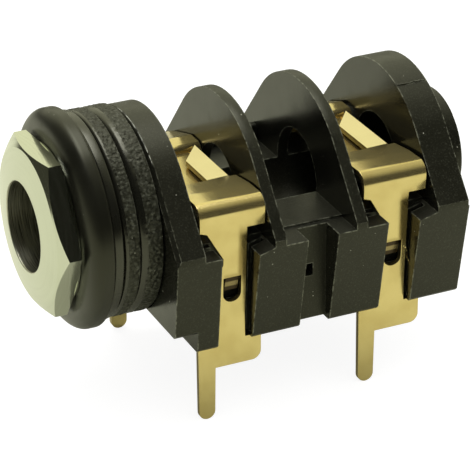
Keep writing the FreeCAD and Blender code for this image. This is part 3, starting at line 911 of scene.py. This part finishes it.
def make_bored_wall():
    """Coarsely turned wall of the nut's bore."""
    made, tree, shader = new_material("bored wall")
    marks = use_group(tree, turning_marks, Along=9000.0, Round=260.0)
    fine = use_group(tree, turning_marks, Along=21000.0, Round=420.0)
    dark = mix_colour(tree, marks.outputs["Streaks"], (0.07, 0.068, 0.052), (0.36, 0.36, 0.28))
    streaked = mix_colour(tree, fine.outputs["Streaks"], dark, (0.62, 0.61, 0.48))
    tree.links.new(streaked, shader.inputs["Base Color"])
    shader.inputs["Metallic"].default_value = 1.0
    shader.inputs["Roughness"].default_value = 0.38
    bump(tree, shader, marks.outputs["Height"], 0.7, 0.00003)
    return made


def make_gold(name, twist):
    """Gold plate on rolled strip, with painted highlights on the tongue and edges, and painted shade
    in the window and along the stem. Twist says how far the tongue leans.
    """
    made, tree, shader = new_material(name)
    strip = use_group(tree, rolled_strip, Line_Scale=5200.0, Tarnish_Scale=380.0)
    shade = use_group(tree, strip_shade, Pitch=0.0126)
    lean = use_group(tree, tongue_twist, Twist=twist)
    arris = use_group(tree, edge_wear_and_highlight, Width=0.00006, Break_Up=1800.0)
    tarnish = ramp(tree, strip.outputs["Tarnish"], 0.35, 0.7)
    plate = mix_colour(tree, tarnish, (0.76, 0.62, 0.265), (0.68, 0.54, 0.215))
    # Painted highlight: the sprung tongue is painted paler
    tongue_highlight = math_node(tree, "MULTIPLY", lean.outputs["Tongue"], twist)
    bright = mix_colour(tree, tongue_highlight, plate, (0.95, 0.88, 0.6))
    cut = mix_colour(tree, strip.outputs["Cut"], bright, (0.36, 0.29, 0.14))
    # Painted highlight along the strip's edges and bent corners
    arris_highlight = math_node(tree, "MULTIPLY", arris.outputs["Mask"], 0.45)
    edged = mix_colour(tree, arris_highlight, cut, (0.95, 0.86, 0.56))
    # Painted reflection of the next block's dark wall along the stem, and painted shade over the
    # window
    stem_shade = math_node(tree, "MULTIPLY", shade.outputs["Stem"], 0.85)
    stem = mix_colour(tree, stem_shade, edged, (0.3, 0.22, 0.07))
    # Painted shade inside the window
    deep = mix_colour(tree, shade.outputs["Window"], stem, (0.06, 0.042, 0.02))
    # Painted lit band on the lance inside the window
    lance_highlight = mix_colour(tree, shade.outputs["Lance"], deep, (0.34, 0.27, 0.12))
    tree.links.new(lance_highlight, shader.inputs["Base Color"])
    shader.inputs["Metallic"].default_value = 0.91
    rough = ramp(tree, strip.outputs["Tarnish"], 0.3, 0.75, 0.15, 0.24)
    tree.links.new(rough, shader.inputs["Roughness"])
    bump(tree, shader, strip.outputs["Height"], 0.2, 0.00001, lean.outputs["Normal"])
    return made


def give_finish(piece, *choices, pick=None):
    """Gives a piece its material, or one of several that pick chooses face by face."""
    piece.data.materials.clear()
    for made in choices:
        piece.data.materials.append(made)
    for face in piece.data.polygons:
        face.material_index = pick(face.center / MM) if pick else 0


# Stage, camera and light

floor_height = -14.05
floor_radius = 900.0
pale_reach = 0.09
dark_reach = 0.24


def make_floor():
    """White to the camera. In reflections it is pale near the socket and dark far from it."""
    steps = 96
    verts = [(0.0, 0.0, floor_height)]
    for k in range(steps):
        angle = math.tau * k / steps
        verts.append((floor_radius * math.cos(angle), floor_radius * math.sin(angle), floor_height))
    faces = [(0, 1 + k, 1 + (k + 1) % steps) for k in range(steps)]
    mesh = bpy.data.meshes.new("floor")
    mesh.from_pydata([Vector(v) * MM for v in verts], [], faces)
    floor = bpy.data.objects.new("floor", mesh)
    bpy.context.scene.collection.objects.link(floor)
    made = bpy.data.materials.new("pale floor")
    made.use_nodes = True
    tree = made.node_tree
    tree.nodes.clear()
    where = add_node(tree, "ShaderNodeTexCoord")
    distance = add_node(tree, "ShaderNodeVectorMath", operation="LENGTH")
    tree.links.new(where.outputs["Object"], distance.inputs[0])
    away = ramp(tree, distance.outputs["Value"], pale_reach, dark_reach)
    matte = add_node(tree, "ShaderNodeBsdfDiffuse")
    floor_colour = mix_colour(tree, away, (0.75, 0.755, 0.6), (0.09, 0.088, 0.065))
    tree.links.new(floor_colour, matte.inputs["Color"])
    glow = add_node(tree, "ShaderNodeEmission")
    glow.inputs["Color"].default_value = (1.0, 1.0, 1.0, 1.0)
    glow.inputs["Strength"].default_value = 0.86
    faint = add_node(tree, "ShaderNodeBsdfDiffuse")
    faint.inputs["Color"].default_value = (0.3, 0.3, 0.3, 1.0)
    seen = add_node(tree, "ShaderNodeAddShader")
    tree.links.new(glow.outputs[0], seen.inputs[0])
    tree.links.new(faint.outputs[0], seen.inputs[1])
    ray = add_node(tree, "ShaderNodeLightPath")
    both = add_node(tree, "ShaderNodeMixShader")
    tree.links.new(ray.outputs["Is Camera Ray"], both.inputs[0])
    tree.links.new(matte.outputs[0], both.inputs[1])
    tree.links.new(seen.outputs[0], both.inputs[2])
    out = add_node(tree, "ShaderNodeOutputMaterial")
    tree.links.new(both.outputs[0], out.inputs["Surface"])
    give_finish(floor, made)


def make_world():
    """Studio that mirrors bright on the far side and to the upper right, and dark elsewhere."""
    world = bpy.data.worlds.new("studio")
    bpy.context.scene.world = world
    world.use_nodes = True
    tree = world.node_tree
    tree.nodes.clear()
    where = add_node(tree, "ShaderNodeTexCoord")
    right, back, up = split(tree, where.outputs["Generated"])
    far_side = math_node(tree, "MULTIPLY", ramp(tree, back, 0.25, 0.55), ramp(tree, up, 0.0, 0.12))
    behind = math_node(tree, "MULTIPLY", far_side, ramp(tree, right, -0.62, -0.2))
    to_right = math_node(tree, "ADD", up, math_node(tree, "MULTIPLY", right, 0.8))
    reach = math_node(tree, "ADD", to_right, math_node(tree, "MULTIPLY", back, 0.35))
    overhead = ramp(tree, reach, 0.6, 1.35, 0.0, 0.5)
    lit = math_node(tree, "MAXIMUM", behind, overhead)
    depth = ramp(tree, back, -0.4, 0.4)
    dim = mix_colour(tree, depth, (0.012, 0.012, 0.009), (0.05, 0.05, 0.036))
    mirrored = mix_colour(tree, lit, dim, (1.0, 1.0, 0.72))
    ray = add_node(tree, "ShaderNodeLightPath")
    around = mix_colour(tree, ray.outputs["Is Glossy Ray"], (0.85, 0.85, 0.82), mirrored)
    seen = mix_colour(tree, ray.outputs["Is Camera Ray"], around, (1.0, 1.0, 1.0))
    sky = add_node(tree, "ShaderNodeBackground")
    tree.links.new(seen, sky.inputs["Color"])
    out = add_node(tree, "ShaderNodeOutputWorld")
    tree.links.new(sky.outputs[0], out.inputs["Surface"])


def make_light():
    """One soft square lamp overhead, a little behind the socket."""
    lamp = bpy.data.lights.new("overhead", "AREA")
    lamp.shape = "SQUARE"
    lamp.size = 160.0 * MM
    lamp.energy = 0.35
    made = bpy.data.objects.new("overhead", lamp)
    bpy.context.scene.collection.objects.link(made)
    made.location = Vector((10.0, 60.0, 260.0)) * MM
    aim = Vector((8.0, 0.0, 0.0)) * MM - made.location
    made.rotation_mode = "QUATERNION"
    made.rotation_quaternion = aim.to_track_quat("-Z", "Y")


def make_camera():
    """Long lens from the front left, above the socket."""
    turn = math.radians(-24.88)
    rise = math.radians(27.12)
    roll = math.radians(-0.25)
    level_share = math.cos(rise)
    back = Vector((math.sin(turn) * level_share, -math.cos(turn) * level_share, math.sin(rise)))
    right = Vector((math.cos(turn), math.sin(turn), 0.0))
    up = back.cross(right)
    level = right * math.cos(roll) + up * math.sin(roll)
    upright = up * math.cos(roll) - right * math.sin(roll)
    lens = bpy.data.cameras.new("camera")
    lens.sensor_width = 36.0
    lens.lens = 204.05
    half_pixel = 0.5 / 470
    lens.shift_x = -half_pixel
    lens.shift_y = half_pixel
    lens.clip_start = 0.01
    lens.clip_end = 5.0
    camera = bpy.data.objects.new("camera", lens)
    bpy.context.scene.collection.objects.link(camera)
    stand = Matrix((level, upright, back)).transposed().to_4x4()
    stand.translation = Vector((-0.06354, -0.1559, 0.08377))
    camera.matrix_world = stand
    bpy.context.scene.camera = camera


# Put the socket together

moulded_black = make_moulded_black()
washer_black = make_washer_black()
smooth_black = make_smooth_black()
worn_arris_and_highlight = make_worn_arris()
ring_skin = make_ring_skin()
plated_nut = make_plated()
bored_wall = make_bored_wall()
# Sprung gold also paints the tongue paler as a painted highlight; flat gold does not
sprung_gold = make_gold("sprung gold", 0.42)
flat_gold = make_gold("flat gold", 0.0)


def in_bore(centre):
    """1 for a face of the bore's wall and 0 for the rest of the nut."""
    return 1 if math.hypot(centre.y, centre.z) < bore_radius + 0.06 else 0


give_finish(make_nut(), plated_nut, bored_wall, pick=in_bore)
give_finish(make_nut_thread(), plated_nut)
give_finish(make_dished_washer(), washer_black)
give_finish(make_thin_washer(), smooth_black)
for name, front, back, bevel in spacer_rings:
    give_finish(
        make_rough_ring(name, front, back, bevel),
        ring_skin,
        smooth_black,
        pick=lambda centre, edge=front + bevel + 0.02: 1 if centre.x < edge else 0,
    )
give_finish(dress_solid("housing", 0.07), moulded_black)
give_finish(make_bay_kerb(), moulded_black)
give_finish(make_seam_flash(), moulded_black)
give_finish(make_flange_arris(), worn_arris_and_highlight)
give_finish(make_foot_web("foot_web_front", 5.97), moulded_black)
give_finish(make_foot_web("foot_web_rear", 18.57), moulded_black)
give_finish(make_gate_burr(), flat_gold)
for name, gold in (
    ("sleeve_contact", sprung_gold),
    ("tip_contact", sprung_gold),
    ("sleeve_switch_contact", flat_gold),
    ("tip_switch_contact", flat_gold),
):
    give_finish(dress_solid(name, 0.05), gold)

make_floor()
make_world()
make_light()
make_camera()
bpy.context.scene.view_settings.view_transform = "Standard"
